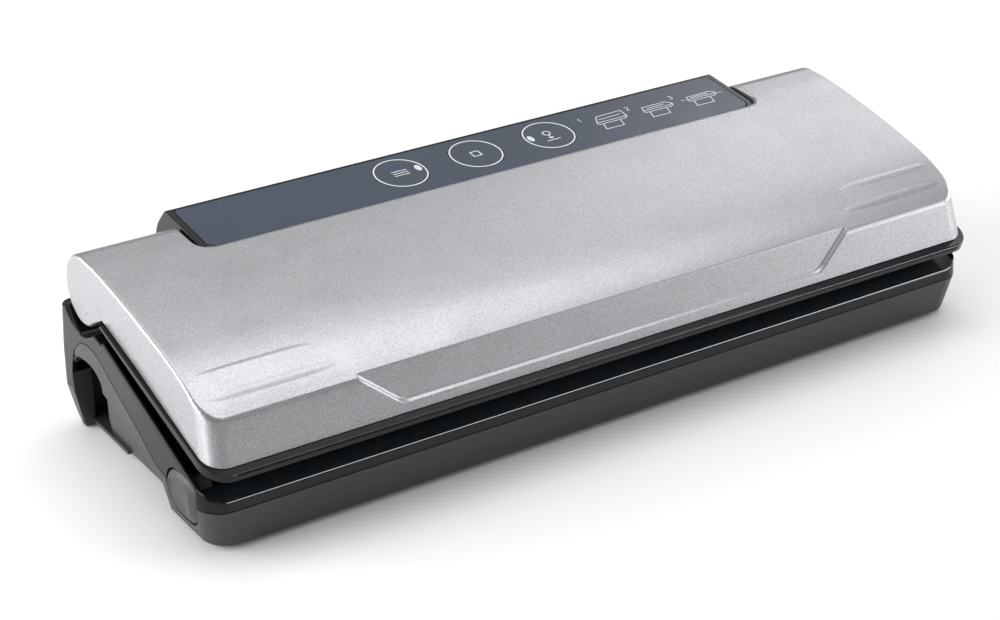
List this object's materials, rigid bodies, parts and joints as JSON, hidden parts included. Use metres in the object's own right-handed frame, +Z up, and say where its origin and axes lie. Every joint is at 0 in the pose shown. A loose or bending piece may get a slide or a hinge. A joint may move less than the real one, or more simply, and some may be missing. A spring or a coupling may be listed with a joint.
{
  "type": "vacuum sealer",
  "caption": "Countertop vacuum sealer: long base with sloping deck, gasket trough and heater bar, hinged silver lid with side latches, and a rear control pod with round keys.",
  "frame": {"origin": "centre of the footprint, on the surface the feet stand on", "axes": "+X to the right along the length, +Y to the back, +Z up; the bag goes in at the -Y side"},
  "size_m": [0.3818, 0.1436, 0.0841],
  "materials": {
    "silver_cover": "satin silver paint on moulded plastic",
    "gloss_black": "polished black plastic",
    "dark_grey": "satin dark grey plastic",
    "slate_panel": "slate blue printed film, softly glossy",
    "black_nylon": "fine matte black",
    "silicone": "dull red silicone",
    "gasket_foam": "closed-cell black foam",
    "steel": "bright steel",
    "heater_metal": "flat resistance strip",
    "ptfe_tape": "tan coated glass cloth",
    "board": "green circuit board",
    "copper": "enamelled copper wire",
    "nylon": "natural moulded nylon",
    "lens": "clear diffusing lens",
    "soft_rubber": "translucent soft rubber"
  },
  "bodies": {
    "root": {"upper_housing": "gloss_black", "control_pod": "gloss_black", "lower_housing": "dark_grey", "control_panel": "slate_panel", "lid_switch": "black_nylon", "mains_inlet": "black_nylon", "tact_switch_seal": "black_nylon", "tact_switch_stop": "black_nylon", "tact_switch_vacuum": "black_nylon", "heater_bar": "silicone", "lower_gasket": "gasket_foam", "hinge_pin_left": "steel", "hinge_pin_right": "steel", "release_spring_left": "steel", "release_spring_right": "steel", "pump_bracket": "steel", "pump_motor": "steel", "transformer_core": "steel", "case_screw_1": "steel", "case_screw_2": "steel", "case_screw_3": "steel", "case_screw_4": "steel", "case_screw_5": "steel", "case_screw_6": "steel", "heating_strip": "heater_metal", "sealing_tape": "ptfe_tape", "control_board": "board", "transformer_coil": "copper", "intake_nozzle": "nylon", "pump_body": "nylon", "foot_1": "soft_rubber", "foot_2": "soft_rubber", "foot_3": "soft_rubber", "foot_4": "soft_rubber", "vacuum_hose": "soft_rubber"},
    "lid": {"lid_cover": "silver_cover", "lid_frame": "gloss_black", "pressure_pad": "silicone", "upper_gasket": "gasket_foam", "lid_hook_left": "gloss_black", "lid_hook_right": "gloss_black"},
    "release_left": {"release_button_left": "dark_grey", "latch_plate_left": "nylon"},
    "release_right": {"release_button_right": "dark_grey", "latch_plate_right": "nylon"},
    "key_seal": {"key_seal": "slate_panel", "indicator_seal": "lens"},
    "key_stop": {"key_stop": "slate_panel"},
    "key_vacuum": {"key_vacuum": "slate_panel", "indicator_vacuum": "lens"},
    "pump": {"pump_crank": "nylon"}
  },
  "joints": [
    {"name": "lid_hinge", "type": "hinge", "parent": "root", "child": "lid", "pos_m": [0, 0.04025, 0.068], "axis": [-1, 0, 0], "range_deg": [-3.5, 62]},
    {"name": "release_left", "type": "slide", "parent": "root", "child": "release_left", "axis": [1, 0, 0], "range_m": [0, 0.003], "stiffness_N_per_m": 400, "deforming": ["release_spring_left"]},
    {"name": "release_right", "type": "slide", "parent": "root", "child": "release_right", "axis": [-1, 0, 0], "range_m": [0, 0.003], "stiffness_N_per_m": 400, "deforming": ["release_spring_right"]},
    {"name": "press_seal", "type": "slide", "parent": "root", "child": "key_seal", "axis": [0, 0.1115, -0.9938], "range_m": [0, 0.0005], "stiffness_N_per_m": 800},
    {"name": "press_stop", "type": "slide", "parent": "root", "child": "key_stop", "axis": [0, 0.1115, -0.9938], "range_m": [0, 0.0005], "stiffness_N_per_m": 800},
    {"name": "press_vacuum", "type": "slide", "parent": "root", "child": "key_vacuum", "axis": [0, 0.1115, -0.9938], "range_m": [0, 0.0005], "stiffness_N_per_m": 800},
    {"name": "pump_spin", "type": "hinge", "parent": "root", "child": "pump", "pos_m": [0.075, 0.03125, 0.024], "axis": [1, 0, 0], "continuous": true}
  ]
}
